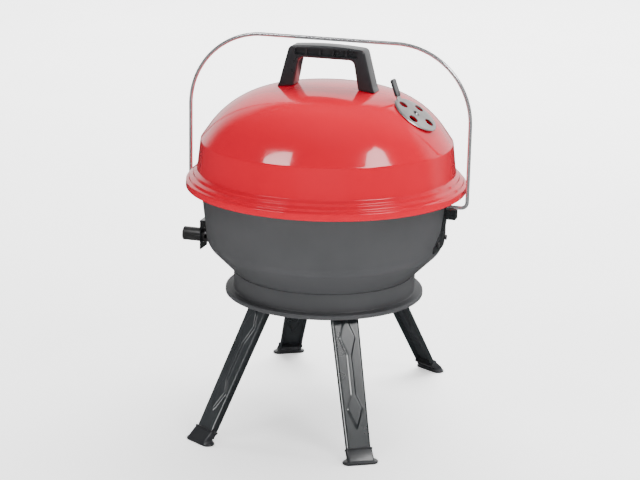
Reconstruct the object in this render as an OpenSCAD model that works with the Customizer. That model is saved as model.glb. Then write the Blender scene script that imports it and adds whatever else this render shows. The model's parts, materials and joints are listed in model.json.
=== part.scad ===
// Portable tabletop kettle grill: an enamelled lid on a steel bowl, four splayed legs,
// and a wire bail that swings over the lid. Z is up, the origin is on the ground on the
// kettle's axis, and the bail's pivot line and the lid handle run along X.

/* [Lid] */
// Outer radius of the rim that hangs over the bowl
rim_r = 185; // [184:0.5:186]
// Height of the rim's lower edge
rim_z = 308; // [307.5:0.5:308.5]
// Height of the crown
crown_z = 442; // [441:0.5:443]
// Sheet thickness of the lid, the bowl and the base ring
sheet_t = 1.2; // [1:0.1:1.3]

/* [Bowl] */
// Height of the bowl's flat bottom
bottom_z = 180; // [179:0.5:181]
// Height of the cooking grate's rods
grate_z = 280; // [279.5:0.5:282]

/* [Base and legs] */
// Height of the base ring's lower edge
ring_z = 163; // [162:0.5:164]
// Outer radius of the base ring's flange
ring_r = 132; // [130:0.5:134]
// Radius at which the legs' outer faces meet the ground
foot_r = 217; // [213:1:220]
// Angle between the X axis and each leg
leg_az = 60; // [58:1:62]

/* [Bail] */
// Half the distance between the arms, centre to centre
bail_x = 190.5; // [189.5:0.5:192]
// Height of the top bar's centre
bail_top = 501.5; // [501:0.5:503]
// Height of the pivot line
pivot_z = 293; // [292.5:0.5:293.5]
// Wire diameter
bail_d = 5; // [4.6:0.1:5]

/* [Handle and vent] */
// Height of the top of the lid handle
handle_top = 494; // [492:0.5:494.5]
// Radius of the vent disc
vent_r = 31.5; // [30:0.5:33]

/* [Hidden] */
$fn = 48;
eps = 0.05;
gap = 0.3;

enamel_red = [0.76, 0.06, 0.07];
bowl_grey = [0.33, 0.33, 0.34];
black = [0.12, 0.12, 0.13];
dark_steel = [0.3, 0.3, 0.31];
bright = [0.78, 0.78, 0.8];
plated = [0.68, 0.69, 0.7];

// Points of an arc about (cx, cz), its angle measured from straight up towards +r
function arc(cx, cz, r, a0, a1, n = 12) =
    [for (i = [0:n]) let (a = a0 + (a1 - a0) * i / n) [cx + r * sin(a), cz + r * cos(a)]];
function unit(v) = v / norm(v);
function left_of(v) = [-v[1], v[0]];
// A polyline moved sideways by d at every point
function shifted(p, d) = [for (i = [0:len(p) - 1])
    let (a = i == 0 ? p[1] - p[0] : p[i] - p[i - 1],
         b = i == len(p) - 1 ? a : p[i + 1] - p[i],
         m = unit(left_of(unit(a)) + left_of(unit(b))))
    p[i] + m * d / max(0.5, m * left_of(unit(a)))];
function reversed(p) = [for (i = [len(p) - 1:-1:0]) p[i]];
// Outline of a sheet of thickness t whose outer face is p
function sheet(p, t) = concat(p, reversed(shifted(p, -t)));
// The same, closed at the axis, for a dome whose line starts near it
function dome_sheet(p, t) = concat([[0, p[0][1]]], sheet(p, t), [[0, p[0][1] - t]]);
function mirrored(p) = concat(p, [for (q = reversed(p)) [-q[0], q[1]]]);

module along_x(x0, x1, r) translate([min(x0, x1), 0, 0]) rotate([0, 90, 0]) cylinder(h = abs(x1 - x0), r = r);
module box(a, b) translate(a) cube(b - a);
module turned(outline) rotate_extrude($fn = 180) polygon(outline);

// ---- Lid outline, crown to rim: wide cap, tight shoulder, cone, wall, rolled rim ----
cap_r = 410;
cap_zc = crown_z - cap_r;
cap_a = 11;
shoulder_r = 122;
shoulder_c = [(cap_r - shoulder_r) * sin(cap_a), cap_zc + (cap_r - shoulder_r) * cos(cap_a)];
cone_a = 55;
cone_len = 17;
cone_top = shoulder_c + shoulder_r * [sin(cone_a), cos(cone_a)];
cone_end = cone_top + cone_len * [cos(cone_a), -sin(cone_a)];
wall_end = [rim_r - 14.7, rim_z + 22];
// Two steps between the wall and the rim's turned-down edge, inwards from the rim and up from its edge
rim_steps = [[-11, 19], [-9.6, 17.6], [-9.2, 15], [-5.3, 13.4], [-4, 12], [-3.4, 10], [-1.1, 8.3], [-0.3, 7]];
lid_line = concat(
    arc(0, cap_zc, cap_r, 1.2, cap_a, 9),
    arc(shoulder_c[0], shoulder_c[1], shoulder_r, cap_a + 4, cone_a, 14),
    [cone_end, cone_end + [1.6, -3.2], wall_end + [-0.2, 1.5], wall_end + [0.6, -0.6]],
    [for (q = rim_steps) [rim_r + q[0], rim_z + q[1]]],
    [[rim_r, rim_z + 5], [rim_r, rim_z]]);

// ---- Bowl outline, rim to bottom: near-upright wall, tight bend, 45 degree underside ----
bowl_top = [166, 316];
wall_low = [157.4, 240];
bend_low = [151, 224];
ledge_r = 121;
bead_c = bowl_top + [3.4, 8.2];
bead_r = 3.3;
bowl_line = concat(
    [bead_c - [0.6, 0.6], bowl_top + [0.8, 1.6], bowl_top, wall_low, wall_low + [-1.1, -6.2],
     wall_low + [-3.2, -11.2], bend_low, [ledge_r - 6, 188]],
    arc(99, bottom_z + 20, 20, 135, 180, 6));
// Radius of the bowl's outer wall at a height above the bend
function wall_r(z) = wall_low[0] + (bowl_top[0] - wall_low[0]) * (z - wall_low[1])
    / (bowl_top[1] - wall_low[1]);
module wall_core(d, z0, z1) turned([[0, z0], [wall_r(z0) + d, z0], [wall_r(z1) + d, z1], [0, z1]]);

// ---- Fasteners ----
screw_r = 2.1;
rivet_r = 2;
base_screw_r = 92;
leg_screw_at = [98, 108];
bracket_rivet = [[-20, 246], [20, 246]];
tube_rivet = [[-8, 251.5], [8, 251.5]];

// ---- Base ring and legs ----
mount_z = ring_z + 3;
ledge_t = 1.5;
leg_top_r = 117.5;
leg_tilt = atan((foot_r - leg_top_r) / ring_z);
leg_len = (ring_z - 9) / cos(leg_tilt);
leg_w0 = 36;
leg_w1 = 31;
leg_t = 1.4;
leg_flange = 8;
leg_up = 5;
front_right = -leg_az;
front_left = leg_az - 180;
rear_right = leg_az;
rear_left = 180 - leg_az;
leg_angles = [front_right, front_left, rear_right, rear_left];

// ---- Burner tube and its bracket, on the -X side ----
tube_r = 9.3;
tube_bore = 8.3;
tube_z = 221.5;
tube_end = -200;
plate_x = -173;
plate_t = 1.5;
tube_seat = -176;
throat_r = 7.3;

// ---- Vent: on the shoulder on the +X side, a little in front of the handle's line ----
vent_a = 34.2;
vent_az = -7.5;
vent_at = [shoulder_c[0] + shoulder_r * sin(vent_a), 0, shoulder_c[1] + shoulder_r * cos(vent_a)];
vent_hole_r = 6.3;
vent_pitch_r = 20;
vent_turn = 14;
vent_curve = 300;
vent_lift = 0.5;
vent_t = 1.2;
module at_vent() rotate(vent_az) translate(vent_at) rotate([0, vent_a, 0]) children();
module vent_holes(h) for (i = [0:3]) rotate(vent_turn + 90 * i) translate([vent_pitch_r, 0, -h / 2])
    cylinder(h = h, r = vent_hole_r);

handle_screw_x = 54;
module lid_shell() color(enamel_red) difference() {
    turned(dome_sheet(lid_line, sheet_t));
    at_vent() vent_holes(30);
    at_vent() translate([0, 0, -10]) cylinder(h = 20, r = 2.5);
    for (s = [-1, 1]) translate([s * handle_screw_x, 0, crown_z - 20]) cylinder(h = 30, r = screw_r);
}

// The handle's side view: two leaning posts under a slightly crowned bar
handle_half_base = 66;
handle_half_top = 50;
grip_half_base = 43.5;
grip_half_top = 36.5;
grip_top = 477;
handle_depth = 27;
handle_foot_z = 430;
handle_outer = mirrored(concat(
    [[handle_half_base, handle_foot_z], [handle_half_base - 0.8, 441]],
    arc(handle_half_top - 6, handle_top - 8.5, 7.5, 75, 10, 6), [[24, handle_top - 0.4]]));
handle_inner = mirrored(concat(
    [[grip_half_base, handle_foot_z - 5], [grip_half_base, 440]],
    arc(grip_half_top - 8, grip_top - 8, 8, 80, 5, 6)));
pocket_half = 42;
pocket_z = [480.5, 489.5];
rib_pitch = 18;
rib_half = 1.3;
module handle_pockets() for (i = [-2:2], s = [-1, 1])
    let (x0 = max(-pocket_half, (i - 0.5) * rib_pitch + rib_half),
         x1 = min(pocket_half, (i + 0.5) * rib_pitch - rib_half))
        translate([x0, s > 0 ? handle_depth / 2 - 4 : -handle_depth / 2 - 1, pocket_z[0]])
            cube([x1 - x0, 5, pocket_z[1] - pocket_z[0]]);
module lid_handle() color(black) difference() {
    translate([0, handle_depth / 2, 0]) rotate([90, 0, 0]) linear_extrude(handle_depth)
        difference() { polygon(handle_outer); polygon(handle_inner); }
    translate([0, 0, cap_zc]) sphere(r = cap_r + eps, $fn = 360);
    handle_pockets();
    for (s = [-1, 1]) translate([s * handle_screw_x, 0, crown_z - 20]) cylinder(h = 38, r = screw_r);
}
// Each screw comes up through a wide washer and the lid into a handle post
module handle_screws() color(plated) for (s = [-1, 1]) translate([s * handle_screw_x, 0, 0]) {
    translate([0, 0, 432]) cylinder(h = 26, r = screw_r - eps);
    translate([0, 0, 434.7]) cylinder(h = 1.2, r = 8);
    translate([0, 0, 431.6]) cylinder(h = 3.1, r = 4.2);
}

// A shallow dished disc with four holes, and a tab bent up on its uphill side that carries a grip
tab_w = 12;
tab_len = 26;
tab_a = 35;
tab_t = 1.5;
grip_wall = 1.2;
module at_tab() at_vent() translate([3 - vent_r, 0, vent_lift - 0.4]) rotate([0, tab_a, 0]) children();
module tab(more, x1) box([-tab_len - more, -tab_w / 2 - more, -0.9 - more], [x1, tab_w / 2 + more, tab_t - 0.9 + more]);
module vent_damper() color(bright) difference() {
    union() {
        at_vent() translate([0, 0, vent_lift])
            turned(dome_sheet(concat(arc(0, vent_t - vent_curve, vent_curve, 1, asin((vent_r - 1) / vent_curve), 5),
                [[vent_r, -0.9]]), vent_t));
        at_tab() tab(0, 0);
    }
    at_vent() vent_holes(20);
    at_vent() translate([0, 0, -5]) cylinder(h = 20, r = 2.3);
}
module vent_grip() color(black) at_tab() difference() {
    tab(grip_wall, -5.5);
    tab(0.02, 1);
}
module vent_rivet() color(plated) at_vent() {
    translate([0, 0, -2.6]) cylinder(h = 5.6, r = 2.25);
    translate([0, 0, vent_lift + vent_t + gap]) cylinder(h = 1.6, r = 4.6);
    translate([0, 0, -sheet_t - 1.6]) cylinder(h = 1.5, r = 4.2);
}

// ---- Bail: drawn in the XZ plane, one half and its mirror image ----
bail_corner = 100;
bail_foot = 8;
nut_x = [156, 159.4];
module wire_arc(cx, cz, r, a0, a1) translate([cx, 0, cz]) rotate([90, 0, 0])
    rotate([0, 0, a0]) rotate_extrude(angle = a1 - a0, $fn = 180) translate([r, 0]) circle(d = bail_d, $fn = 32);
module half_bail() {
    wire_arc(bail_x - bail_corner, bail_top - bail_corner, bail_corner, 0, 90);
    translate([bail_x, 0, pivot_z + bail_foot])
        cylinder(h = bail_top - bail_corner - pivot_z - bail_foot, d = bail_d, $fn = 32);
    wire_arc(bail_x - bail_foot, pivot_z + bail_foot, bail_foot, -90, 0);
    translate([0, 0, pivot_z]) along_x(nut_x[0] - 1.5, bail_x - bail_foot, bail_d / 2, $fn = 32);
}
module bail_handle() color(bright) {
    half_bail();
    mirror([1, 0, 0]) half_bail();
    translate([0, 0, bail_top]) along_x(bail_corner - bail_x, bail_x - bail_corner, bail_d / 2, $fn = 32);
}
module bail_push_nuts() color(plated) for (s = [-1, 1]) translate([0, 0, pivot_z]) difference() {
    along_x(s * nut_x[0], s * nut_x[1], 6);
    along_x(s * (nut_x[0] - 5), s * (nut_x[1] + 5), bail_d / 2 + 0.02);
}

// ---- Bowl ----
air_hole_r = 6;
air_hole_at = 58;
module bowl() color(bowl_grey) difference() {
    union() {
        turned(concat(bowl_line, [[0, bottom_z], [0, bottom_z + sheet_t]], reversed(shifted(bowl_line, -sheet_t))));
        rotate_extrude($fn = 180) translate(bead_c) circle(r = bead_r, $fn = 24);
    }
    translate([0, 0, tube_z]) along_x(-180, -120, tube_r + 1);
    for (s = [-1, 1]) translate([0, 0, pivot_z]) along_x(s * 140, s * 180, bail_d / 2 + 0.7);
    for (s = [-1, 1], p = bracket_rivet) translate([0, p[0], p[1]]) along_x(s * 140, s * 175, rivet_r);
    for (p = tube_rivet) translate([0, p[0], p[1]]) along_x(-175, -140, rivet_r);
    for (i = [0:3]) rotate(45 + 90 * i) translate([base_screw_r, 0, bottom_z - 1]) cylinder(h = 4, r = screw_r);
    for (i = [0:5]) rotate(60 * i) translate([air_hole_at, 0, bottom_z - 1]) cylinder(h = 4, r = air_hole_r);
    translate([0, 0, bottom_z - 1]) cylinder(h = 4, r = screw_r);
}

// ---- Base ring: a drum with a rolled outer flange, an inner ledge and four bowl tabs ----
drum_top = 192.5;
ledge_in = 88;
bowl_tab_t = 1.5;
base_line = concat(
    [[ledge_r, drum_top], [ledge_r, mount_z + 4.3], [ledge_r + 0.8, mount_z + 2.9], [ledge_r + 2.2, mount_z + 2.3]],
    arc(ring_r - 3, mount_z - 0.7, 3, 0, 90, 6), [[ring_r, ring_z]]);
module base_ring() color(bowl_grey) difference() {
    union() {
        turned(sheet(base_line, sheet_t));
        turned([[ledge_in, mount_z], [ledge_r + 1.5, mount_z], [ledge_r + 1.5, mount_z + ledge_t],
            [ledge_in, mount_z + ledge_t]]);
        for (i = [0:3]) rotate(45 + 90 * i)
            box([base_screw_r - 8, -10, bottom_z - bowl_tab_t], [ledge_r - 0.6, 10, bottom_z]);
    }
    for (i = [0:3]) rotate(45 + 90 * i) translate([base_screw_r, 0, bottom_z - 3]) cylinder(h = 5, r = screw_r);
    for (a = leg_angles, r = leg_screw_at) rotate(a) translate([r, 0, mount_z - 1]) cylinder(h = 4, r = screw_r);
}
module base_screws() color(plated) for (i = [0:3]) rotate(45 + 90 * i) translate([base_screw_r, 0, 0]) {
    translate([0, 0, bottom_z - 5]) cylinder(h = 8, r = screw_r - eps);
    translate([0, 0, bottom_z + sheet_t + 0.02]) cylinder(h = 2.6, r = 4);
    translate([0, 0, bottom_z - bowl_tab_t - 3.02]) cylinder(h = 3, r = 4.2, $fn = 6);
}

// ---- Bail brackets: a flared strap on the wall, a pivot hole and a folded stop block ----
bracket_t = 1.5;
bracket_z = [236, 301];
bracket_half = [10.5, 30];
stop_x = 177;
stop_half = 7;
stop_z = [277.5, pivot_z - 2.9];
bracket_outline = let (n = bracket_half[0], w = bracket_half[1], z0 = bracket_z[0], z1 = bracket_z[1])
    [[-w, z0], [w, z0], [w, z0 + 8], [n, z0 + 28], [n, z1], [-n, z1], [-n, z0 + 28], [-w, z0 + 8]];
module bail_bracket(rivets) color(black) difference() {
    union() {
        intersection() {
            difference() {
                wall_core(bracket_t, bracket_z[0], bracket_z[1]);
                wall_core(eps, bracket_z[0] - 1, bracket_z[1] + 1);
            }
            rotate([90, 0, 90]) linear_extrude(200) polygon(bracket_outline);
        }
        difference() {
            box([150, -stop_half, stop_z[0]], [stop_x, stop_half, stop_z[1]]);
            box([140, bracket_t - stop_half, stop_z[0] - 5],
                [stop_x - bracket_t, stop_half - bracket_t, stop_z[1] - bracket_t]);
            wall_core(eps, 230, 305);
        }
    }
    translate([0, 0, pivot_z]) along_x(150, 190, bail_d / 2 + 0.05);
    for (p = rivets) translate([0, p[0], p[1]]) along_x(140, 175, rivet_r);
}
module bail_bracket_right() bail_bracket(bracket_rivet);
module bail_bracket_left() mirror([1, 0, 0]) bail_bracket(concat(bracket_rivet, tube_rivet));
// x_in and x_out are the far faces of the rivet's two heads
module rivet(x_in, x_out) {
    along_x(x_in, x_out, rivet_r - eps);
    along_x(x_in, x_in + 1.5, 3.6);
    along_x(x_out - 1.5, x_out, 3.6);
}
module bail_bracket_rivets() color(plated) for (s = [0, 1], p = bracket_rivet)
    mirror([s, 0, 0]) translate([0, p[0], p[1]]) rivet(153.4, 160.6);

// ---- Burner tube bracket: a plate that stands off the bowl, hung from a folded tab ----
tube_bracket_half = 13;
tube_bracket_z = [204, 245];
hang_x = -161.5;
hang_top = 258;
module burner_tube_bracket() color(black)
    let (w = tube_bracket_half, z0 = tube_bracket_z[0], z1 = tube_bracket_z[1]) difference() {
        union() {
            box([plate_x, -w, z0], [plate_x + plate_t, w, z1]);
            box([plate_x, -w, z1 - plate_t], [hang_x, w, z1]);
            box([hang_x - plate_t, -w, z1 - plate_t], [hang_x, w, hang_top]);
        }
        translate([0, 0, tube_z]) along_x(-180, -165, tube_r + 0.15);
        for (p = tube_rivet) translate([0, p[0], p[1]]) along_x(-175, -140, rivet_r);
    }
module burner_bracket_rivets() color(plated) for (p = tube_rivet)
    mirror([1, 0, 0]) translate([0, p[0], p[1]]) rivet(155.2, -hang_x + plate_t + 1.5);

// ---- Burner ----
burner_r = 55;
burner_z = [210.5, 232.5];
burner_t = 1.5;
ports = 24;
module burner_tube() color(dark_steel) translate([0, 0, tube_z]) difference() {
    along_x(tube_end, -50, tube_r);
    along_x(tube_end - 1, tube_seat, tube_bore);
    along_x(tube_seat - 1, -49, throat_r);
    box([-168, -12, -3], [-158, 12, 3]);
}
module burner() color(dark_steel) difference() {
    translate([0, 0, burner_z[0]]) cylinder(h = burner_z[1] - burner_z[0], r = burner_r);
    translate([0, 0, burner_z[0] + burner_t])
        cylinder(h = burner_z[1] - burner_z[0] - 2 * burner_t, r = burner_r - burner_t);
    translate([0, 0, tube_z]) along_x(-60, -40, tube_r + eps);
    for (i = [0:ports - 1]) rotate(360 / ports * (i + 0.5)) translate([0, 0, burner_z[1] - 4])
        along_x(50, 60, 1.4, $fn = 16);
    translate([0, 0, burner_z[0] - 1]) cylinder(h = 4, r = screw_r);
}
module burner_stand() color(dark_steel) translate([0, 0, bottom_z + sheet_t + 0.02]) difference() {
    cylinder(h = burner_z[0] - bottom_z - sheet_t - 0.04, r = 7);
    translate([0, 0, -1]) cylinder(h = 40, r = screw_r + 0.1);
}
module burner_screw() color(plated) {
    translate([0, 0, bottom_z - 3]) cylinder(h = 2.98, r = 4.2);
    translate([0, 0, bottom_z - 1]) cylinder(h = burner_z[0] - bottom_z + 8, r = screw_r - eps);
    translate([0, 0, burner_z[0] + burner_t + 0.02]) cylinder(h = 3, r = 4.2, $fn = 6);
}

// ---- Heat plate: a slotted disc on four strips that stand on the bowl's underside slope ----
plate_r = 112;
plate_z = 246.6;
module heat_plate() color(black) {
    difference() {
        turned([[0, plate_z], [plate_r, plate_z], [plate_r, plate_z - 6.6], [plate_r - 1.2, plate_z - 6.6],
            [plate_r - 1.2, plate_z - 1.2], [0, plate_z - 1.2]]);
        for (i = [0:7]) rotate(45 * i + 22.5) box([35, -2.5, plate_z - 4], [95, 2.5, plate_z + 2]);
    }
    for (i = [0:3]) rotate(45 + 90 * i) rotate([90, 0, 0]) linear_extrude(1.5, center = true)
        polygon([[102, plate_z - 0.4], [plate_r, plate_z - 0.4], [132, 213], [132, 207.05], [127, 202.05]]);
}

// ---- Cooking grate and its supports ----
grate_r = 154;
rod_r = 2;
rod_pitch = 16;
cross_x = 60;
module cooking_grate() color(bright) {
    rotate_extrude($fn = 120) translate([grate_r, grate_z]) circle(r = 2.5, $fn = 16);
    for (i = [-9:9]) let (y = i * rod_pitch, h = sqrt(grate_r * grate_r - y * y))
        translate([0, y, grate_z]) along_x(-h, h, rod_r, $fn = 16);
    for (s = [-1, 1]) let (h = sqrt(grate_r * grate_r - cross_x * cross_x))
        translate([s * cross_x, -h, grate_z - 3.8]) rotate([-90, 0, 0]) cylinder(h = 2 * h, r = 2.25, $fn = 16);
}
module grate_supports() color(dark_steel) intersection() {
    for (i = [0:3]) rotate(45 + 90 * i) {
        box([149, -8, grate_z - 4], [164, 8, grate_z - 2.55]);
        box([157.2, -8, grate_z - 18], [164, 8, grate_z - 2.55]);
    }
    wall_core(-sheet_t - eps, 255, 285);
}

// ---- Legs: stamped channels with two raised lozenges, bolted up under the base ring's ledge ----
module at_leg(a) rotate(a) translate([leg_top_r, 0, ring_z]) rotate([0, -leg_tilt, 0]) children();
function leg_half(z) = (leg_w0 + (leg_w0 - leg_w1) * z / leg_len) / 2;
// Two lozenges joined by a rib, as half-widths down the leg's face
lozenge = mirrored([[1.5, -3], [10, -28.5], [3, -52], [3, -103], [9.5, -121], [0.8, -146]]);
module across(x0, x1) translate([x0, 0, 0]) rotate([90, 0, 90]) linear_extrude(x1 - x0) children();
module leg(a) color(black) difference() {
    intersection() {
        union() {
            at_leg(a) {
                across(-leg_t, 0) polygon([[-leg_half(leg_up), leg_up], [leg_half(leg_up), leg_up],
                    [leg_half(-leg_len), -leg_len], [-leg_half(-leg_len), -leg_len]]);
                for (s = [-1, 1]) across(-leg_flange, 0) polygon([[s * leg_half(leg_up), leg_up],
                    [s * (leg_half(leg_up) - leg_t), leg_up], [s * (leg_half(-leg_len) - leg_t), -leg_len],
                    [s * leg_half(-leg_len), -leg_len]]);
                across(-eps, 2) polygon(lozenge);
            }
            rotate(a) box([leg_screw_at[0] - 7, -14, mount_z - 0.1 - leg_t], [leg_top_r - 1, 14, mount_z - 0.1]);
        }
        box([-300, -300, 0], [300, 300, mount_z - 0.1]);
    }
    for (r = leg_screw_at) rotate(a) translate([r, 0, mount_z - 5]) cylinder(h = 8, r = screw_r);
}
module leg_front_right() leg(front_right);
module leg_front_left() leg(front_left);
module leg_rear_right() leg(rear_right);
module leg_rear_left() leg(rear_left);

// ---- Feet: moulded caps with a flat sole wider than the leg ----
sole_half = 14.5;
sole_r = 8.5;
foot_top = -170.5;
module foot(a) color(black) difference() {
    union() {
        rotate(a) translate([foot_r - 3, 0, 0]) hull() for (s = [-1, 1])
            translate([0, s * sole_half, 0]) cylinder(h = 2.6, r = sole_r, $fn = 32);
        hull() {
            rotate(a) translate([foot_r - 3, 0, 0]) box([-8, -17, 1], [8, 17, 2]);
            at_leg(a) box([-9.8, -17.4, foot_top - 1.5], [1.8, 17.4, foot_top]);
        }
    }
    at_leg(a) box([-leg_flange - 0.3, -16.1, -leg_len - 0.3], [0.3, 16.1, foot_top + 10]);
}
module foot_front_right() foot(front_right);
module foot_front_left() foot(front_left);
module foot_rear_right() foot(rear_right);
module foot_rear_left() foot(rear_left);

module leg_screws() color(plated) for (a = leg_angles, r = leg_screw_at) rotate(a) translate([r, 0, 0]) {
    translate([0, 0, mount_z - 4]) cylinder(h = 9, r = screw_r - eps);
    translate([0, 0, mount_z - 0.12 - leg_t - 2.6]) cylinder(h = 2.6, r = 3.8);
}
module leg_nuts() color(plated) for (a = leg_angles, r = leg_screw_at)
    rotate(a) translate([r, 0, mount_z + ledge_t + 0.02]) difference() {
        cylinder(h = 3, r = 4.2, $fn = 6);
        translate([0, 0, -1]) cylinder(h = 5, r = screw_r);
    }

lid_shell();
lid_handle();
handle_screws();
vent_damper();
vent_grip();
vent_rivet();
bail_handle();
bail_push_nuts();
bowl();
base_ring();
base_screws();
bail_bracket_right();
bail_bracket_left();
bail_bracket_rivets();
burner_tube_bracket();
burner_bracket_rivets();
burner_tube();
burner();
burner_stand();
burner_screw();
heat_plate();
cooking_grate();
grate_supports();
leg_front_right();
leg_front_left();
leg_rear_right();
leg_rear_left();
foot_front_right();
foot_front_left();
foot_rear_right();
foot_rear_left();
leg_screws();
leg_nuts();
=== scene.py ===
"""Portable tabletop kettle grill: the looks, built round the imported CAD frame.

Lengths are in millimetres until a mesh is made, and in metres after that.
"""
import json
import math

import bmesh
import bpy
from mathutils import Matrix, Vector

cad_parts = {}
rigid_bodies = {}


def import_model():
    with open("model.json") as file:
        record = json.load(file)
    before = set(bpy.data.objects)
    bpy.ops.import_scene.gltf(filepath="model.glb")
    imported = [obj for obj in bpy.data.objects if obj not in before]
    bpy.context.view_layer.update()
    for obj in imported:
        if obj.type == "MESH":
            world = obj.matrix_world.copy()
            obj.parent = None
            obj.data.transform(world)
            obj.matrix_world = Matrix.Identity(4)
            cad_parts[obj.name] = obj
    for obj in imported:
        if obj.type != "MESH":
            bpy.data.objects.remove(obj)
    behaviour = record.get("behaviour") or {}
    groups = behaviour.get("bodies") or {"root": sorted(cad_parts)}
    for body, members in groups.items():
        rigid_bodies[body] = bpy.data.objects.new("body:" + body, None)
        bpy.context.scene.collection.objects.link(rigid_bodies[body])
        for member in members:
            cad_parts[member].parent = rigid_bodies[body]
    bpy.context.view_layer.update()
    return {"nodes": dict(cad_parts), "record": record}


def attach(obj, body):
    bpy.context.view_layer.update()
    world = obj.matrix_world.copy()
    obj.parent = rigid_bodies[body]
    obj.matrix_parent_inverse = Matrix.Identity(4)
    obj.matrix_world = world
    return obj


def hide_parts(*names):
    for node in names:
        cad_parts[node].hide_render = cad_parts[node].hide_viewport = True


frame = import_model()
MM = 0.001
SEGMENTS = 240
WELD_DIST = 1e-6  # metres
BODY_OF = {n: b for b, ns in frame["record"]["behaviour"]["bodies"].items() for n in ns}
SLOT_OF = {s["node"]: s["material_slot"] for s in frame["record"]["subparts"]}


# ---- Materials ----

def shader(name, base, **sockets):
    """A Principled material and its node tree. Sockets are given by name with _ for a space."""
    mat = bpy.data.materials.new(name)
    mat.use_nodes = True
    tree = mat.node_tree
    bsdf = tree.nodes["Principled BSDF"]
    bsdf.inputs["Base Color"].default_value = (*base, 1)
    for key, value in sockets.items():
        bsdf.inputs[key.replace("_", " ")].default_value = value
    return mat, tree, bsdf


def texture(tree, kind, scale, detail=3.0, stretch=(1, 1, 1)):
    """A noise or Voronoi texture in object space, in cycles per metre."""
    place = tree.nodes.new("ShaderNodeTexCoord")
    mapping = tree.nodes.new("ShaderNodeMapping")
    mapping.inputs["Scale"].default_value = stretch
    node = tree.nodes.new("ShaderNodeTex" + kind)
    node.inputs["Scale"].default_value = scale
    if kind == "Noise":
        node.inputs["Detail"].default_value = detail
    tree.links.new(place.outputs["Object"], mapping.inputs["Vector"])
    tree.links.new(mapping.outputs["Vector"], node.inputs["Vector"])
    return node.outputs["Fac" if kind == "Noise" else "Distance"]


def spread(tree, source, low, high, into, start=0.3, end=0.7):
    """Maps a texture to low..high and feeds it to a socket; three numbers make it a colour."""
    if isinstance(low, tuple):
        ramp = tree.nodes.new("ShaderNodeValToRGB")
        ramp.color_ramp.elements[0].position = start
        ramp.color_ramp.elements[0].color = (*low, 1)
        ramp.color_ramp.elements[1].position = end
        ramp.color_ramp.elements[1].color = (*high, 1)
        tree.links.new(source, ramp.inputs["Fac"])
        tree.links.new(ramp.outputs["Color"], into)
        return
    node = tree.nodes.new("ShaderNodeMapRange")
    for key, value in zip(("From Min", "From Max", "To Min", "To Max"), (start, end, low, high)):
        node.inputs[key].default_value = value
    tree.links.new(source, node.inputs["Value"])
    tree.links.new(node.outputs["Result"], into)


def bump(tree, bsdf, source, depth):
    """Raises the surface by the texture, up to a depth in metres."""
    node = tree.nodes.new("ShaderNodeBump")
    node.inputs["Distance"].default_value = depth
    node.inputs["Strength"].default_value = 1.0
    tree.links.new(source, node.inputs["Height"])
    tree.links.new(node.outputs["Normal"], bsdf.inputs["Normal"])


def finish_material(name, base, base_2, rough, cloud, grain, grain_depth, stretch=(1, 1, 1), **sockets):
    """Colour and roughness drift over `cloud` cycles per metre, with a bump of `grain` cycles."""
    mat, tree, bsdf = shader(name, base, **sockets)
    drift = texture(tree, "Noise", cloud, 4.0, stretch)
    spread(tree, drift, base, base_2, bsdf.inputs["Base Color"])
    spread(tree, drift, rough[0], rough[1], bsdf.inputs["Roughness"])
    bump(tree, bsdf, texture(tree, "Noise", grain, 2.0, stretch), grain_depth)
    return mat


MATERIALS = {
    "red_enamel": finish_material("red_enamel", (0.58, 0.0012, 0.019), (0.53, 0.001, 0.017), (0.12, 0.16),
                                  9, 160, 0.00003, Coat_Weight=0.6, Coat_Roughness=0.03, Specular_IOR_Level=0.35),
    "grey_paint": finish_material("grey_paint", (0.051, 0.052, 0.055), (0.059, 0.06, 0.063), (0.42, 0.5),
                                  14, 700, 0.00002, Specular_IOR_Level=0.3),
    "black_paint": finish_material("black_paint", (0.01, 0.012, 0.013), (0.014, 0.016, 0.018), (0.26, 0.34),
                                   22, 420, 0.0000008, Coat_Weight=0.7, Coat_Roughness=0.15),
    "chrome_wire": finish_material("chrome_wire", (0.72, 0.72, 0.74), (0.62, 0.62, 0.64), (0.16, 0.24),
                                   60, 900, 0.000002, Metallic=0.8),
    "zinc": finish_material("zinc", (0.8, 0.79, 0.78), (0.68, 0.67, 0.66), (0.38, 0.5),
                            45, 600, 0.00002, Metallic=1.0),
    "black_plastic": finish_material("black_plastic", (0.018, 0.019, 0.021), (0.024, 0.025, 0.027), (0.26, 0.36),
                                     30, 1500, 0.00003, Specular_IOR_Level=0.55, Coat_Weight=0.3,
                                     Coat_Roughness=0.14),
    "dark_steel": finish_material("dark_steel", (0.16, 0.16, 0.165), (0.1, 0.098, 0.097), (0.32, 0.48),
                                  35, 500, 0.00003, stretch=(0.3, 1, 1), Metallic=0.9),
    "plated_steel": finish_material("plated_steel", (0.6, 0.61, 0.63), (0.5, 0.5, 0.52), (0.24, 0.36),
                                    70, 800, 0.00001, Metallic=1.0),
}


# ---- Outlines: lists of (radius, height) ----

def arc(cx, cz, r, a0, a1, n):
    """Points about (cx, cz), the angle measured in degrees from straight up towards +r."""
    return [(cx + r * math.sin(math.radians(a0 + (a1 - a0) * i / n)),
             cz + r * math.cos(math.radians(a0 + (a1 - a0) * i / n))) for i in range(n + 1)]


def rounded(points, radii, steps=8):
    """The polyline with each inner corner rounded to its radius."""
    out = [points[0]]
    for before, corner, after, radius in zip(points, points[1:], points[2:], radii):
        p = Vector(corner)
        u, v = (Vector(before) - p), (Vector(after) - p)
        half = u.angle(v) / 2
        reach = min(radius / math.tan(half), 0.49 * u.length, 0.49 * v.length)
        a, b = p + u.normalized() * reach, p + v.normalized() * reach
        for i in range(steps + 1):
            t = i / steps
            out.append(tuple(a * (1 - t) ** 2 + p * 2 * t * (1 - t) + b * t ** 2))
    return out + [points[-1]]


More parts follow.
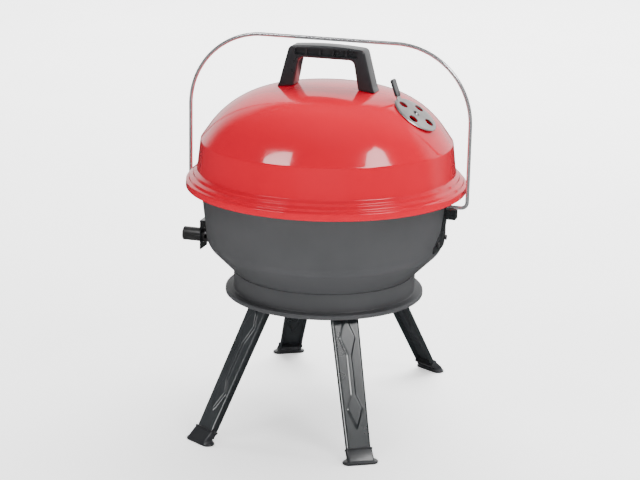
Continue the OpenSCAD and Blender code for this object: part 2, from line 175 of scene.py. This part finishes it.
def shifted(path, d):
    """The polyline moved to its left by d."""
    out = []
    for i, p in enumerate(path):
        q = Vector(p)
        a = (q - Vector(path[i - 1])) if i else (Vector(path[1]) - q)
        b = (Vector(path[i + 1]) - q) if i < len(path) - 1 else a
        left_a = Vector((-a.y, a.x)).normalized()
        m = (left_a + Vector((-b.y, b.x)).normalized()).normalized()
        out.append(tuple(q + m * d / max(0.5, m.dot(left_a))))
    return out


def sheet(path, t, round_start=False, round_end=False):
    """The closed outline of a sheet t thick to the right of the path, its ends rounded if asked."""
    inner = shifted(path, -t)

    def end(p, q, outward):
        mid, half = (Vector(p) + Vector(q)) / 2, (Vector(p) - Vector(q)) / 2
        return [tuple(mid + half * math.cos(math.radians(a)) + outward * half.length * math.sin(math.radians(a)))
                for a in (30, 60, 90, 120, 150)]
    out = list(path)
    if round_end:
        out += end(path[-1], inner[-1], (Vector(path[-1]) - Vector(path[-2])).normalized())
    out += inner[::-1]
    if round_start:
        out += end(inner[0], path[0], (Vector(path[0]) - Vector(path[1])).normalized())
    return out


# ---- Meshes ----

def obj_from(name, verts, faces, material, sharp=38):
    """An object from points in millimetres, welded and with its faces turned outwards."""
    mesh = bpy.data.meshes.new(name)
    mesh.from_pydata([Vector(v) * MM for v in verts], [], faces)
    bm = bmesh.new()
    bm.from_mesh(mesh)
    bmesh.ops.remove_doubles(bm, verts=bm.verts, dist=WELD_DIST)
    bmesh.ops.dissolve_degenerate(bm, edges=bm.edges, dist=1e-7)
    bmesh.ops.recalc_face_normals(bm, faces=bm.faces)
    bm.to_mesh(mesh)
    bm.free()
    obj = bpy.data.objects.new(name, mesh)
    bpy.context.scene.collection.objects.link(obj)
    if material:
        mesh.materials.append(MATERIALS[material])
    shade(obj, sharp)
    return obj


def shade(obj, sharp):
    """Smooth shading, with creases where faces meet at more than `sharp` degrees."""
    obj.data.shade_smooth()
    obj.data.set_sharp_from_angle(angle=math.radians(sharp))


def lathe(outline, segments=SEGMENTS):
    """Vertices and faces of a closed outline turned about Z."""
    n = len(outline)
    turns = [2 * math.pi * i / segments for i in range(segments)]
    verts = [(r * math.cos(t), r * math.sin(t), z) for t in turns for r, z in outline]
    faces = [(i * n + j, ((i + 1) % segments) * n + j, ((i + 1) % segments) * n + (j + 1) % n, i * n + (j + 1) % n)
             for i in range(segments) for j in range(n)
             if outline[j][0] > 0 or outline[(j + 1) % n][0] > 0]
    return verts, faces


def loft(rings, closed=False):
    """Vertices and faces through equal rings of points, capped unless the rings close on themselves."""
    n, k = len(rings[0]), len(rings)
    verts = [p for ring in rings for p in ring]
    faces = [((i % k) * n + j, ((i + 1) % k) * n + j, ((i + 1) % k) * n + (j + 1) % n, (i % k) * n + (j + 1) % n)
             for i in range(k if closed else k - 1) for j in range(n)]
    if not closed:
        faces += [tuple(range(n)), tuple(range((k - 1) * n, k * n))]
    return verts, faces


def joined(*parts):
    """Several (vertices, faces) pairs as one."""
    verts, faces = [], []
    for v, f in parts:
        faces += [tuple(i + len(verts) for i in face) for face in f]
        verts += v
    return verts, faces


def moved(part, matrix):
    """A (vertices, faces) pair with its points, in millimetres, put through a matrix."""
    return [tuple(matrix @ Vector(v)) for v in part[0]], part[1]


def rod(p, q, r, n=32, chamfer=0.0):
    """A cylinder from p to q as (vertices, faces), its ends chamfered if asked."""
    p, q = Vector(p), Vector(q)
    turn = Vector((0, 0, 1)).rotation_difference(q - p).to_matrix().to_4x4()
    length = (q - p).length
    steps = [(0, r), (length, r)]
    if chamfer:
        steps = [(0, r - chamfer), (chamfer, r), (length - chamfer, r), (length, r - chamfer)]
    rings = [[(s * math.cos(2 * math.pi * i / n), s * math.sin(2 * math.pi * i / n), z) for i in range(n)]
             for z, s in steps]
    return moved(loft(rings), Matrix.Translation(p) @ turn)


def brick(lo, hi):
    """A box between two corners as (vertices, faces)."""
    xs, ys, zs = zip(lo, hi)
    return loft([[(xs[0], ys[0], z), (xs[1], ys[0], z), (xs[1], ys[1], z), (xs[0], ys[1], z)] for z in zs])


def apply_modifiers(obj):
    graph = bpy.context.evaluated_depsgraph_get()
    mesh = bpy.data.meshes.new_from_object(obj.evaluated_get(graph))
    old = obj.data
    obj.modifiers.clear()
    obj.data = mesh
    bpy.data.meshes.remove(old)


def cut(obj, part, sharp=38):
    """Takes a (vertices, faces) pair out of the object."""
    cutter = obj_from(obj.name + "_cutter", *part, None)
    mod = obj.modifiers.new("cut", "BOOLEAN")
    mod.operation, mod.solver, mod.object = "DIFFERENCE", "EXACT", cutter
    apply_modifiers(obj)
    bpy.data.objects.remove(cutter)
    shade(obj, sharp)


def bevel(obj, width, segments=3, angle=40, keep=False):
    mod = obj.modifiers.new("bevel", "BEVEL")
    mod.width, mod.segments = width * MM, segments
    mod.limit_method, mod.angle_limit = "ANGLE", math.radians(angle)
    mod.harden_normals = False
    if not keep:
        apply_modifiers(obj)


def place(obj, *nodes):
    """The piece stands for these CAD nodes: it goes on their body, and the nodes are hidden."""
    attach(obj, BODY_OF[nodes[0]])
    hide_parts(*nodes)
    return obj


def deg(a):
    return math.radians(a)


# ---- Lid ----
CROWN, CAP_R, CAP_A, SHOULDER_R, CONE_A = 442, 410, 11, 122, 55
SHEET = 1.2
CAP_Z = CROWN - CAP_R
SHOULDER = (math.sin(deg(CAP_A)) * (CAP_R - SHOULDER_R), CAP_Z + math.cos(deg(CAP_A)) * (CAP_R - SHOULDER_R))
CREASE, WALL_END = (165.7, 369.3), (170.3, 329.8)
RIM_R, RIM_Z = 185, 308
RIM_STEPS = [(174.6, 326.6), (175.6, 323.5), (180.2, 321.0), (181.2, 317.9), (184.7, 316.0)]
RIM_ROUNDS = [2.6, 1.7, 1.5, 1.7, 1.5, 2]
CREASE_ROUND = 7
dome = arc(0, CAP_Z, CAP_R, 0, CAP_A, 16) + arc(*SHOULDER, SHOULDER_R, CAP_A, CONE_A, 40)[1:]
lid_path = dome[:-1] + rounded([dome[-1], CREASE, WALL_END, *RIM_STEPS, (RIM_R, RIM_Z)], [CREASE_ROUND] + RIM_ROUNDS)
VENT_A, VENT_AZ = 34.2, -7.5
VENT_AT = (SHOULDER[0] + SHOULDER_R * math.sin(deg(VENT_A)), 0, SHOULDER[1] + SHOULDER_R * math.cos(deg(VENT_A)))
AT_VENT = (Matrix.Rotation(deg(VENT_AZ), 4, "Z") @ Matrix.Translation(VENT_AT)
           @ Matrix.Rotation(deg(VENT_A), 4, "Y"))
VENT_TURN, VENT_PITCH, VENT_HOLE, VENT_HOLES = 14, 20, 6.3, 4


def vent_cutters(r, reach=15):
    """Rods through the lid or the damper where its air holes go."""
    rods = []
    for i in range(VENT_HOLES):
        t = deg(VENT_TURN + 360 / VENT_HOLES * i)
        x, y = VENT_PITCH * math.cos(t), VENT_PITCH * math.sin(t)
        rods.append(rod((x, y, -reach), (x, y, reach), r, 40))
    return moved(joined(*rods), AT_VENT)


lid = obj_from("lid", *lathe(sheet(lid_path, SHEET, round_end=True)), "red_enamel")
cut(lid, vent_cutters(VENT_HOLE))
place(lid, "lid_shell")

# ---- Handle: an arch with leaning posts, a grooved and ribbed bar, and rounded edges ----
HANDLE_TOP, DEPTH, HANDLE_EDGE = 494, 27, 2.6
half_outer = (rounded([(66.4, 436.3), (63.6, 442), (50.6, HANDLE_TOP - 2.6), (36, HANDLE_TOP - 1.4)], [14, 8], 8)
              + [(24, HANDLE_TOP - 0.6), (12, HANDLE_TOP - 0.1), (4, HANDLE_TOP)])
half_inner = rounded([(43.5, 439.4), (43.2, 442), (36.6, 477.4), (0, 477)], [6, 8], 8)[:-1]
profile = (half_outer + [(-x, z) for x, z in half_outer[::-1]]
           + [(-x, z) for x, z in half_inner] + half_inner[::-1])
handle = obj_from("handle", *loft([[(x, y, z) for x, z in profile] for y in (-DEPTH / 2, DEPTH / 2)]),
                  "black_plastic")
bevel(handle, HANDLE_EDGE, 4, 60)


def stadium(x0, x1, z0, z1, y0, y1, r, n=6):
    """A prism along Y with a rounded rectangular section."""
    pts = []
    for cx, cz, a in ((x1 - r, z1 - r, 0), (x0 + r, z1 - r, 90), (x0 + r, z0 + r, 180), (x1 - r, z0 + r, 270)):
        pts += [(cx + r * math.cos(deg(a + 90 * i / n)), cz + r * math.sin(deg(a + 90 * i / n)))
                for i in range(n + 1)]
    return loft([[(x, y, z) for x, z in pts] for y in (y0, y1)])


RIB_PITCH, RIB_HALF, POCKET, RIB_DEPTH, POCKET_DEPTH = 18, 1.3, 42, 1.6, 5
POCKET_LOW, POCKET_HIGH = 480.5, 489.8
for s in (-1, 1):
    face = s * DEPTH / 2
    cut(handle, stadium(-POCKET, POCKET, POCKET_LOW, POCKET_HIGH, face - s * RIB_DEPTH, face + s, 4.4), 30)
    for i in range(-2, 3):
        x0, x1 = max(-POCKET, (i - 0.5) * RIB_PITCH + RIB_HALF), min(POCKET, (i + 0.5) * RIB_PITCH - RIB_HALF)
        cut(handle, stadium(x0, x1, POCKET_LOW + 0.2, POCKET_HIGH - 0.2, face - s * POCKET_DEPTH, face + s, 1.6), 30)
place(handle, "lid_handle")

# ---- Vent: a dished disc with four holes, a turned edge and a bent-up tab ----
VENT_R, VENT_LIFT, VENT_T, DISH_R = 31.5, 0.5, 1.2, 300
TAB_SLOPE = 35
disc_path = arc(0, VENT_T - DISH_R, DISH_R, 0, 5.6, 10) + [(VENT_R - 0.6, -0.7), (VENT_R, -1.5)]
AT_DISC = AT_VENT @ Matrix.Translation((0, 0, VENT_LIFT))
damper = obj_from("vent_damper_disc", *moved(lathe(sheet(disc_path, VENT_T), 120), AT_DISC), "zinc")
cut(damper, vent_cutters(VENT_HOLE))
AT_TAB = (AT_VENT @ Matrix.Translation((3 - VENT_R, 0, VENT_LIFT - 0.4))
          @ Matrix.Rotation(deg(TAB_SLOPE), 4, "Y"))
tab_metal = obj_from("vent_tab", *moved(brick((-26, -6, -0.9), (1.5, 6, 0.6)), AT_TAB), "zinc")
bevel(tab_metal, 0.3, 2)
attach(tab_metal, "vent")
place(damper, "vent_damper")

# The grip's sections along the tab: place, half width, half thickness
GRIP = [(-4.6, 5.6, 1.2), (-6.5, 6.6, 1.7), (-14, 7.0, 1.5), (-22, 6.9, 1.5), (-26, 6.4, 1.8), (-27.6, 5.0, 1.2)]
CORNERS = ((1, 1), (1, 1), (-1, 1), (-1, 1), (-1, -1), (-1, -1), (1, -1), (1, -1))
grip_rings = [[(x, sy * (w - 0.9 * (k % 2)), -0.15 + sz * (t - 0.5 * (1 - k % 2)))
               for k, (sy, sz) in enumerate(CORNERS)] for x, w, t in GRIP]
grip = obj_from("vent_tab_grip", *moved(loft(grip_rings), AT_TAB), "black_plastic")
place(grip, "vent_grip")

dome_head = [(0, 3.8), (1.8, 3.65), (3.3, 3.1), (4.3, 2.3), (4.6, 2.0), (2.25, 2.0), (2.25, -1.3), (4.2, -1.3),
             (3.9, -2.3), (2.6, -2.8), (0, -2.8)]
place(obj_from("vent_centre_rivet", *moved(lathe(dome_head, 48), AT_VENT), "plated_steel"), "vent_rivet")

# ---- Bail: one round wire, bent at its top corners and turned in at its feet ----
BAIL_X, BAIL_TOP, PIVOT_Z, WIRE_R, CORNER, FOOT, END_X = 190.5, 501.5, 293, 2.5, 100, 8, 154.5


def swept(path, r, n=24):
    """A round wire along a path in the XZ plane."""
    rings = []
    for i, (x, z) in enumerate(path):
        a, b = Vector(path[max(i - 1, 0)]), Vector(path[min(i + 1, len(path) - 1)])
        d = (b - a).normalized()
        rings.append([(x + r * math.cos(2 * math.pi * k / n) * d.y, r * math.sin(2 * math.pi * k / n),
                       z - r * math.cos(2 * math.pi * k / n) * d.x) for k in range(n)])
    return loft(rings)


half_bail = ([(END_X, PIVOT_Z)] + [(BAIL_X - FOOT + x, z) for x, z in arc(0, PIVOT_Z + FOOT, FOOT, 180, 90, 12)]
             + [(BAIL_X - CORNER + x, z) for x, z in arc(0, BAIL_TOP - CORNER, CORNER, 90, 0, 48)])
bail = obj_from("bail_wire", *swept(half_bail + [(-x, z) for x, z in half_bail[::-1]], WIRE_R), "chrome_wire")
place(bail, "bail_handle")

# ---- Bowl and base ring ----
BEAD, BEAD_R = (169.4, 324.2), 2.1
curl = [(BEAD[0] + BEAD_R * math.cos(deg(a)), BEAD[1] + BEAD_R * math.sin(deg(a))) for a in range(-130, 181, 10)]
bowl_path = curl + rounded([(166.9, 321), (156.2, 229.2), (107, 180), (0, 180)], [26, 20], 14)
bowl = obj_from("bowl_shell", *lathe(sheet(bowl_path, SHEET, round_start=True)), "grey_paint")
TUBE_Z, TUBE_HOLE, AIR_PITCH, AIR_HOLE, AIR_HOLES = 221.5, 10.3, 58, 6, 6
air_spots = [(AIR_PITCH * math.cos(deg(360 / AIR_HOLES * i)), AIR_PITCH * math.sin(deg(360 / AIR_HOLES * i)))
             for i in range(AIR_HOLES)]
cut(bowl, joined(rod((-180, 0, TUBE_Z), (-120, 0, TUBE_Z), TUBE_HOLE, 48),
                 *[rod((x, y, 175), (x, y, 185), AIR_HOLE, 32) for x, y in air_spots]))
place(bowl, "bowl")

RING_Z, RING_R, DRUM_R, DRUM_TOP = 163, 132, 121, 192.5
LEDGE_IN, LEDGE_OUT, LEDGE_T = 88, 122.2, 1.5
MOUNT_Z = RING_Z + 3
LIP_Z = MOUNT_Z + 2.3
ring_path = rounded([(DRUM_R, DRUM_TOP), (DRUM_R, LIP_Z), (RING_R, LIP_Z), (RING_R, RING_Z)], [2.6, 3])
ledge = lathe([(LEDGE_IN, MOUNT_Z), (LEDGE_OUT, MOUNT_Z), (LEDGE_OUT, MOUNT_Z + LEDGE_T),
               (LEDGE_IN, MOUNT_Z + LEDGE_T)])
tabs = [moved(brick((84, -10, 178.5), (120.4, 10, 180)), Matrix.Rotation(deg(45 + 90 * i), 4, "Z"))
        for i in range(4)]
ring = obj_from("base_ring_drum", *joined(lathe(sheet(ring_path, SHEET, True, True)), ledge, *tabs), "grey_paint")
place(ring, "base_ring")

# ---- Legs: pressed channels with a raised lozenge and rib ----
LEG_TOP_R, FOOT_R, LEG_W0, LEG_W1, LEG_T, FLANGE = 117.5, 217, 36, 31, 1.4, 8
TILT = math.atan((FOOT_R - LEG_TOP_R) / RING_Z)
LEG_LEN = (RING_Z - 9) / math.cos(TILT)
LEG_OVER = 3.2  # how far the leg runs on above its top point
# The raised rib: distance below the leg's top, half width
LOZENGE = [(-2, 1), (-28.5, 10), (-52, 2.8), (-103, 2.8), (-121, 9.5), (-147, 0)]
LIFT, RAMP = 2.0, 1.8


def interpolate(table, s):
    """The table's second value at s, or 0 outside it; the first values fall."""
    for (s0, h0), (s1, h1) in zip(table, table[1:]):
        if s1 <= s <= s0:
            return h0 + (h1 - h0) * (s - s0) / (s1 - s0)
    return 0.0


def leg_section(s, skin):
    """Points across the channel at s below its top, for the outer skin (0) or the inner one (LEG_T)."""
    w = (LEG_W0 + (LEG_W0 - LEG_W1) * s / LEG_LEN) / 2 - skin
    r = max(3.2 - skin, 0.6)
    side = [(-FLANGE, w), (-r, w)]
    side += [(-r + r * math.sin(deg(a)), w - r + r * math.cos(deg(a))) for a in range(15, 90, 15)]
    face = [w - r - (w - r) * 2 * i / 56 for i in range(57)]
    half = interpolate(LOZENGE, s)
    pts = [(x - skin * (x > -FLANGE), y) for x, y in side]
    for y in face:
        lift = LIFT * min(1.0, max(0.0, (half - abs(y)) / RAMP + 0.5)) if half > 0 else 0.0
        pts.append((-skin + lift * min(1.0, half / 2), y))
    return pts + [(x - skin * (x > -FLANGE), -y) for x, y in side[::-1]]


def leg_mesh():
    """The channel from a little above its top point down to its end, as (vertices, faces)."""
    steps = 150
    stations = [LEG_OVER - i * (LEG_LEN + LEG_OVER) / steps for i in range(steps + 1)]
    rings = []
    for s in stations:
        outer, inner = leg_section(s, 0), leg_section(s, LEG_T)
        rings.append([(x, y, s) for x, y in outer] + [(x, y, s) for x, y in inner[::-1]])
    return loft(rings)


def rounded_ring(centre, half_x, half_y, r, matrix=None, n=8):
    """A ring of points round a rounded rectangle that faces up, put through a matrix if given."""
    pts = []
    for sx, sy, a in ((1, 1, 0), (-1, 1, 90), (-1, -1, 180), (1, -1, 270)):
        pts += [Vector((centre[0] + sx * (half_x - r) + r * math.cos(deg(a + 90 * i / n)),
                        sy * (half_y - r) + r * math.sin(deg(a + 90 * i / n)), centre[1])) for i in range(n + 1)]
    return [tuple(matrix @ p) if matrix else tuple(p) for p in pts]


SOLE_R, FOOT_TOP = FOOT_R - 3, -170.5
AT_TOP = Matrix.Translation((LEG_TOP_R, 0, RING_Z)) @ Matrix.Rotation(-TILT, 4, "Y")


def foot_mesh():
    """A socket round the leg's end that flares to a flat stadium sole."""
    # Each section: its depth below the leg's top or its height, two half widths and the corner's radius
    socket = [(FOOT_TOP - 0.2, 4.8, 16.2, 1.6), (FOOT_TOP, 5.2, 16.7, 2), (FOOT_TOP - 0.5, 5.8, 17.3, 2.2),
              (FOOT_TOP - 2.2, 5.8, 17.3, 2.2), (FOOT_TOP - 2.6, 5.4, 16.7, 2)]
    flare = [(4.4, 7.4, 17.4, 3), (3.2, 8.0, 19.2, 5), (2.6, 8.5, 22.6, 8.2), (2.2, 8.5, 23, 8.3),
             (0.5, 8.5, 23, 8.4), (0, 8.1, 22.5, 8)]
    rings = [rounded_ring((-4, z), *size, AT_TOP) for z, *size in socket]
    rings.append(rounded_ring((SOLE_R - 0.5, 6.2), 7.0, 16.9, 2.6))
    rings += [rounded_ring((SOLE_R, z), *size) for z, *size in flare]
    return loft(rings)


tab_plate = brick((91, -14, MOUNT_Z - 0.1 - LEG_T), (LEG_TOP_R - 1.5, 14, MOUNT_Z - 0.1))
for name, angle in (("front_right", -60), ("front_left", -120), ("rear_right", 60), ("rear_left", 120)):
    turn = Matrix.Rotation(deg(angle), 4, "Z")
    leg = obj_from("leg_" + name + "_channel",
                   *joined(moved(leg_mesh(), turn @ AT_TOP), moved(tab_plate, turn)), "black_paint", 50)
    place(leg, "leg_" + name)
    foot = obj_from("foot_" + name + "_cap", *moved(foot_mesh(), turn), "black_plastic", 50)
    place(foot, "foot_" + name)

# ---- CAD nodes: all get their own finish, and some that stay are welded and have their edges eased ----
for node, obj in frame["nodes"].items():
    obj.data.materials.clear()
    obj.data.materials.append(MATERIALS[SLOT_OF[node]])
EASED = {"bail_bracket_right": 0.45, "bail_bracket_left": 0.45, "burner_tube_bracket": 0.4,
         "bail_bracket_rivets": 0.5, "burner_bracket_rivets": 0.5, "burner_tube": 0.35,
         "leg_screws": 0.4, "leg_nuts": 0.3, "base_screws": 0.3}
for node, width in EASED.items():
    obj = frame["nodes"][node]
    weld = obj.modifiers.new("weld", "WELD")
    weld.merge_threshold = 10 * WELD_DIST
    bevel(obj, width, 2, 50, keep=True)

# ---- Stage ----

def area_light(name, at, aim, size, power, along=None):
    """A rectangular light at a point, aimed at another, with its first side along a direction if one is given."""
    data = bpy.data.lights.new(name, "AREA")
    data.shape, data.size, data.size_y, data.energy = "RECTANGLE", size[0], size[1], power
    obj = bpy.data.objects.new(name, data)
    back = (Vector(at) - Vector(aim)).normalized()
    across = Vector(along or (-back.y, back.x, 0))
    across = (across - back * across.dot(back)).normalized()
    obj.matrix_world = Matrix.Translation(at) @ Matrix((across, back.cross(across), back)).transposed().to_4x4()
    bpy.context.scene.collection.objects.link(obj)
    return obj


FLOOR_HALF, FLOOR_T = 30000, 40
floor = obj_from("floor", *brick((-FLOOR_HALF, -FLOOR_HALF, -FLOOR_T), (FLOOR_HALF, FLOOR_HALF, 0)), None)
floor_mat, floor_tree, floor_bsdf = shader("floor_white", (0.92, 0.92, 0.92), Roughness=0.6,
                                           Emission_Color=(1, 1, 1, 1), Emission_Strength=0.8)
spread(floor_tree, texture(floor_tree, "Noise", 3), (0.9, 0.9, 0.9), (0.93, 0.93, 0.93),
       floor_bsdf.inputs["Base Color"])
floor.data.materials.append(floor_mat)
floor.visible_glossy = False  # the world gives the lid and the bowl a dimmer floor to mirror

world = bpy.data.worlds.new("studio")
world.use_nodes = True
world_tree = world.node_tree
split = world_tree.nodes.new("ShaderNodeSeparateXYZ")
world_tree.links.new(world_tree.nodes.new("ShaderNodeTexCoord").outputs["Generated"], split.inputs["Vector"])


def world_math(kind, a, b):
    node = world_tree.nodes.new("ShaderNodeMath")
    node.operation = kind
    for socket, value in zip(node.inputs, (a, b)):
        if isinstance(value, float):
            socket.default_value = value
        else:
            world_tree.links.new(value, socket)
    return node.outputs[0]


def world_step(source, start, end, low, high):
    node = world_tree.nodes.new("ShaderNodeMapRange")
    node.interpolation_type = "SMOOTHSTEP"
    for key, value in zip(("From Min", "From Max", "To Min", "To Max"), (start, end, low, high)):
        node.inputs[key].default_value = value
    world_tree.links.new(source, node.inputs["Value"])
    return node.outputs["Result"]


# A dim room with a bright paper sweep behind the grill; both are strengths of the background
AMBIENT, SWEEP = 0.06, 1.2
sweep = world_math("MULTIPLY", world_step(split.outputs["Y"], 0.4, 0.7, 0.0, SWEEP),
                   world_step(split.outputs["Z"], 0.56, 0.66, 1.0, 0.0))
sweep = world_math("MULTIPLY", sweep, world_step(split.outputs["Z"], -0.15, 0.0, 0.0, 1.0))
world_tree.links.new(world_math("ADD", sweep, AMBIENT), world_tree.nodes["Background"].inputs["Strength"])
world_tree.nodes["Background"].inputs["Color"].default_value = (1, 1, 1, 1)
bpy.context.scene.world = world

# The two boxes are what the lid mirrors; the fills and the wash show in no reflection
CENTRE = (0, 0, 0.3)
area_light("box_left", (-0.95, -1.25, 1.88), CENTRE, (0.78, 0.3), 11, (0.68, -0.26, 0.215))
area_light("box_right", (1.475, -0.66, 1.79), CENTRE, (1.03, 0.6), 27, (0.1, 0.99, 0.26))
area_light("front_fill", (0.6, -3.2, 1.3), CENTRE, (2.6, 1.6), 60).visible_glossy = False
area_light("top_fill", (0.1, 0.2, 2.8), CENTRE, (2.2, 2.2), 34).visible_glossy = False
area_light("floor_wash", (0, 3.2, 3.6), (0, 3.8, 0), (6, 4), 1000).visible_glossy = False
# Two more touch only the legs, with their screws and nuts: one on the faces and one along the ribs' edges
leg_light = area_light("leg_light", (1.08, -1.02, 1.84), (0.1, -0.1, 0.1), (0.6, 0.36), 7)
leg_streak = area_light("leg_streak", (-1.42, -1.48, 0.62), (0, -0.1, 0.1), (0.7, 0.9), 40)
legs_only = bpy.data.collections.new("legs_only")
for piece in [o for o in bpy.context.scene.objects if o.name.startswith("leg_") and o.type == "MESH"]:
    legs_only.objects.link(piece)
leg_light.light_linking.receiver_collection = legs_only
leg_streak.light_linking.receiver_collection = legs_only

# ---- Camera: in front and a little to the right, looking down ----
CAM_TURN, CAM_DIST, CAM_HEIGHT, CAM_PAN, CAM_PITCH, CAM_ROLL = 16.5, 2.413, 0.9195, -0.16, 15.92, 1.13
SENSOR, LENS = 36, 106.05
pan, pitch, roll = deg(CAM_PAN), deg(CAM_PITCH), deg(CAM_ROLL)
ahead = Vector((math.sin(pan) * math.cos(pitch), math.cos(pan) * math.cos(pitch), -math.sin(pitch)))
right = Vector((math.cos(pan), -math.sin(pan), 0))
up = right.cross(ahead)
right, up = right * math.cos(roll) + up * math.sin(roll), up * math.cos(roll) - right * math.sin(roll)
pose = Matrix((right, up, -ahead)).transposed().to_4x4()
pose.translation = (0, -CAM_DIST, CAM_HEIGHT)
camera = bpy.data.objects.new("camera", bpy.data.cameras.new("camera"))
camera.data.sensor_width, camera.data.lens = SENSOR, LENS
camera.data.clip_end = 100
camera.matrix_world = Matrix.Rotation(deg(CAM_TURN), 4, "Z") @ pose
bpy.context.scene.collection.objects.link(camera)
bpy.context.scene.camera = camera
